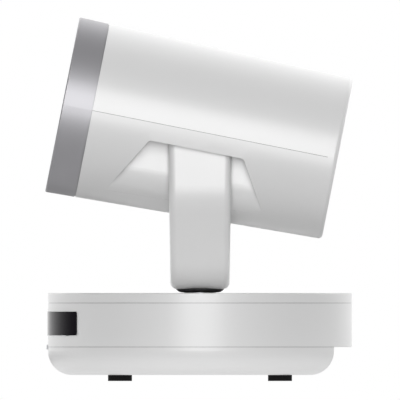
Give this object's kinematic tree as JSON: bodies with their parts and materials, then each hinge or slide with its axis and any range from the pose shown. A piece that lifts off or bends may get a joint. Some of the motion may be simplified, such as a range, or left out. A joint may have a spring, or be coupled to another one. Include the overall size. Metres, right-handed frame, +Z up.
{
  "type": "pan-tilt-zoom conference camera",
  "caption": "Motorised conference camera: a tapered white barrel with a silver front ring tilts in a fork that pans on a round base with an infrared window and a rear socket bay.",
  "frame": {"origin": "on the table, on the pan axis, under the centre of the base", "axes": "+Z up along the pan axis; the lens looks towards -Y; +X is the camera's left"},
  "size_m": [0.152, 0.1537, 0.1818],
  "materials": {
    "white_plastic": "satin moulded plastic",
    "silver_paint": "satin silver paint",
    "smoked_plastic": "polished, dark, passes infrared",
    "black_gloss": "polished black",
    "black_plastic": "fine texture",
    "chip_black": "matte",
    "rubber": "matte",
    "brass": "turned",
    "steel": "plated",
    "bearing_steel": "polished",
    "frame_aluminium": "cast and machined",
    "circuit_board": "solder mask",
    "gear_plastic": "natural acetal",
    "light_pipe": "frosted, clear",
    "cover_glass": "coated glass",
    "lens_glass": "coated glass"
  },
  "bodies": {
    "base": {"base_lower_shell": "white_plastic", "base_upper_shell": "white_plastic", "base_top_cover": "white_plastic", "ir_window": "smoked_plastic", "ir_board": "circuit_board", "ir_receivers": "black_plastic", "status_light": "light_pipe", "rubber_feet": "rubber", "tripod_insert": "brass", "base_screws": "steel", "chassis_pillars": "steel", "chassis_screws": "steel", "main_board": "circuit_board", "main_chips": "chip_black", "socket_board": "circuit_board", "network_jack": "steel", "video_jack": "steel", "data_jack": "steel", "power_jack": "black_plastic", "connector_panel": "steel", "chassis_plate": "steel", "pan_motor": "steel", "pan_bearing_outer_race": "bearing_steel", "pan_bearing_balls": "bearing_steel"},
    "pan_motor_pinion": {"pan_pinion": "brass"},
    "fork": {"fork_shell": "white_plastic", "fork_inner_cover": "white_plastic", "fork_frame": "frame_aluminium", "pan_collar": "black_plastic", "pan_shaft": "steel", "pan_gear": "gear_plastic", "pan_retaining_ring": "steel", "fork_screws": "steel", "pan_bearing_inner_race": "bearing_steel", "tilt_trunnions": "steel", "tilt_gear": "gear_plastic"},
    "head": {"barrel_upper_shell": "white_plastic", "barrel_lower_shell": "white_plastic", "front_ring": "silver_paint", "rear_cap": "white_plastic", "barrel_screws": "steel", "front_hood": "black_gloss", "front_glass": "cover_glass", "lens_tube": "black_plastic", "front_lens": "lens_glass", "lens_retainer": "black_plastic", "head_chassis": "frame_aluminium", "tilt_bushes": "gear_plastic", "tilt_motor": "steel", "lens_housing": "black_plastic", "guide_rods": "steel", "sensor_board": "circuit_board", "image_sensor": "lens_glass", "lens_motors": "steel", "head_board": "circuit_board"},
    "tilt_motor_pinion": {"tilt_pinion": "brass"},
    "zoom_group": {"zoom_carrier": "black_plastic", "zoom_lens": "lens_glass"},
    "focus_group": {"focus_carrier": "black_plastic", "focus_lens": "lens_glass"}
  },
  "joints": [
    {"name": "pan", "type": "hinge", "parent": "base", "child": "fork", "pos_m": [0, 0, 0.045], "axis": [0, 0, 1], "range_deg": [-170, 170]},
    {"name": "tilt", "type": "hinge", "parent": "fork", "child": "head", "pos_m": [0, 0, 0.1246], "axis": [-1, 0, 0], "range_deg": [-39.2, 16.8]},
    {"name": "pan_pinion_spin", "type": "hinge", "parent": "base", "child": "pan_motor_pinion", "pos_m": [0.036, 0, 0.0145], "axis": [0, 0, 1], "range_deg": [-850.5, 850.5]},
    {"name": "tilt_pinion_spin", "type": "hinge", "parent": "head", "child": "tilt_motor_pinion", "pos_m": [0, -0.00486, 0.10008], "axis": [-1, 0, 0], "range_deg": [-288, 124]},
    {"name": "zoom", "type": "slide", "parent": "head", "child": "zoom_group", "axis": [0, 0.981, -0.1942], "range_m": [-0.012, 0.008]},
    {"name": "focus", "type": "slide", "parent": "head", "child": "focus_group", "axis": [0, 0.981, -0.1942], "range_m": [-0.005, 0.005]}
  ],
  "couplings": [
    {"joint": "pan_pinion_spin", "follows": "pan", "ratio": -5},
    {"joint": "tilt_pinion_spin", "follows": "tilt", "ratio": 7.3333}
  ]
}
